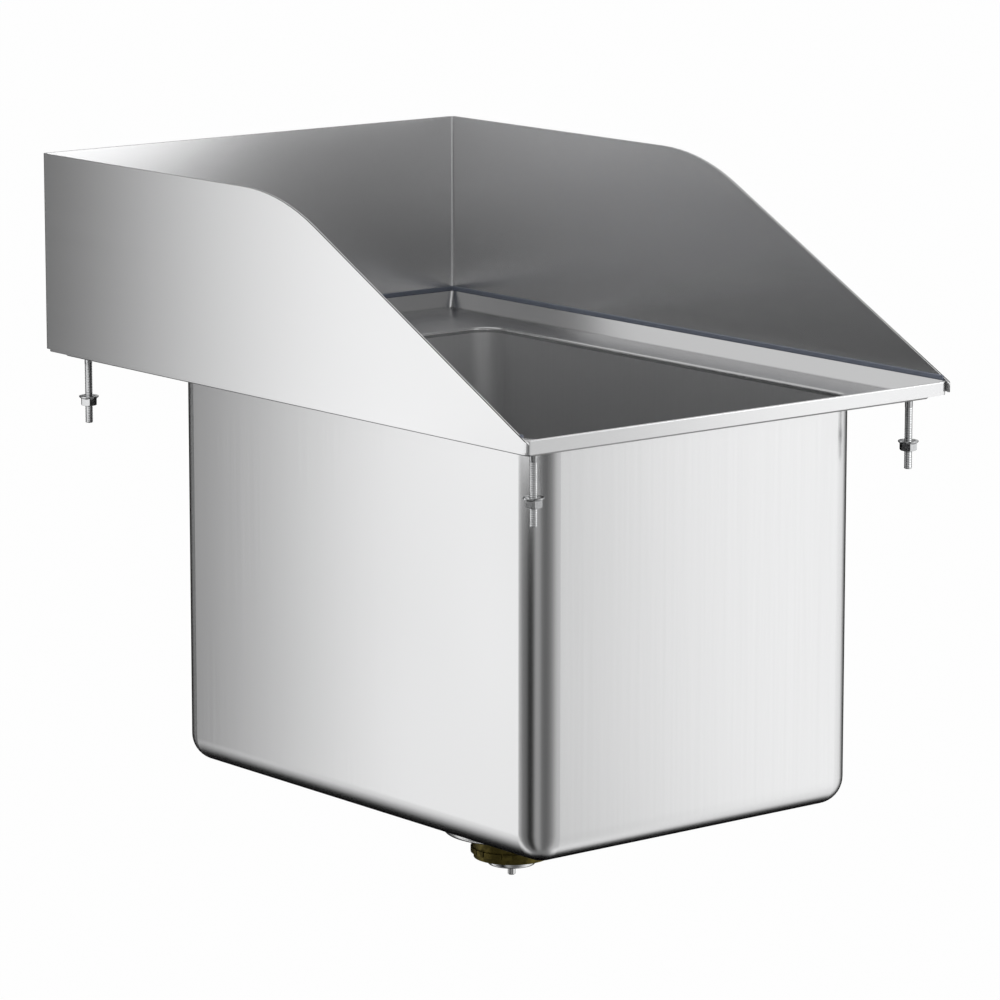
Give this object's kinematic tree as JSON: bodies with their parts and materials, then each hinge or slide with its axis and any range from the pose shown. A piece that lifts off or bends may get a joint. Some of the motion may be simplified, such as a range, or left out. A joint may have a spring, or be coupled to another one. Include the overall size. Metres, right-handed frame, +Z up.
{
  "type": "drop-in sink",
  "caption": "Small stainless drop-in sink with a deep rectangular bowl, a three-sided splash guard, weld studs with flange nuts and a lift-out basket drain.",
  "frame": {"origin": "centre of the rim's underside, the plane that rests on the counter", "axes": "+X to the right of a person standing at the sink, +Y to the back, +Z up out of the counter"},
  "size_m": [0.3332, 0.4864, 0.4444],
  "materials": {
    "brushed_stainless": "satin brushed stainless",
    "sealant": "slate blue-grey silicone",
    "zinc_steel": "bright zinc plated, turned",
    "spun_stainless": "bright spun stainless",
    "putty": "grey-beige plumber's putty",
    "rubber": "black rubber, moulded",
    "fibre": "red-brown vulcanised fibre",
    "zinc_cast": "die-cast zinc, dull",
    "brass": "rough turned brass, dulled olive"
  },
  "bodies": {
    "sink": {"rim_deck": "brushed_stainless", "bowl": "brushed_stainless", "splash_guard": "brushed_stainless", "foot_sealant": "sealant", "weld_studs": "zinc_steel", "strainer_body": "spun_stainless", "plumbers_putty": "putty", "rubber_washer": "rubber", "friction_washer": "fibre", "drain_locknut": "zinc_cast", "outlet_gasket": "rubber", "outlet_guide": "spun_stainless"},
    "front_left_nut": {"front_left_flange_nut": "zinc_steel"},
    "front_right_nut": {"front_right_flange_nut": "zinc_steel"},
    "back_left_nut": {"back_left_flange_nut": "zinc_steel"},
    "back_right_nut": {"back_right_flange_nut": "zinc_steel"},
    "coupling": {"coupling_nut": "brass"},
    "basket": {"basket_shell": "spun_stainless", "basket_post": "zinc_steel", "basket_knob": "spun_stainless", "rubber_stopper": "rubber", "stopper_washer": "zinc_steel", "post_circlip": "zinc_steel"}
  },
  "joints": [
    {"name": "front_left_nut_travel", "type": "slide", "parent": "sink", "child": "front_left_nut", "axis": [0, 0, 1], "range_m": [-0.011, 0.0205]},
    {"name": "front_right_nut_travel", "type": "slide", "parent": "sink", "child": "front_right_nut", "axis": [0, 0, 1], "range_m": [-0.011, 0.0205]},
    {"name": "back_left_nut_travel", "type": "slide", "parent": "sink", "child": "back_left_nut", "axis": [0, 0, 1], "range_m": [-0.011, 0.0205]},
    {"name": "back_right_nut_travel", "type": "slide", "parent": "sink", "child": "back_right_nut", "axis": [0, 0, 1], "range_m": [-0.011, 0.0205]},
    {"name": "coupling_nut_turn", "type": "hinge", "parent": "sink", "child": "coupling", "pos_m": [0, -0.0254, -0.2996], "axis": [0, 0, 1], "range_deg": [-1260, 0]},
    {"name": "basket_lift", "type": "slide", "parent": "sink", "child": "basket", "axis": [0, 0, 1], "range_m": [0, 0.33]}
  ]
}
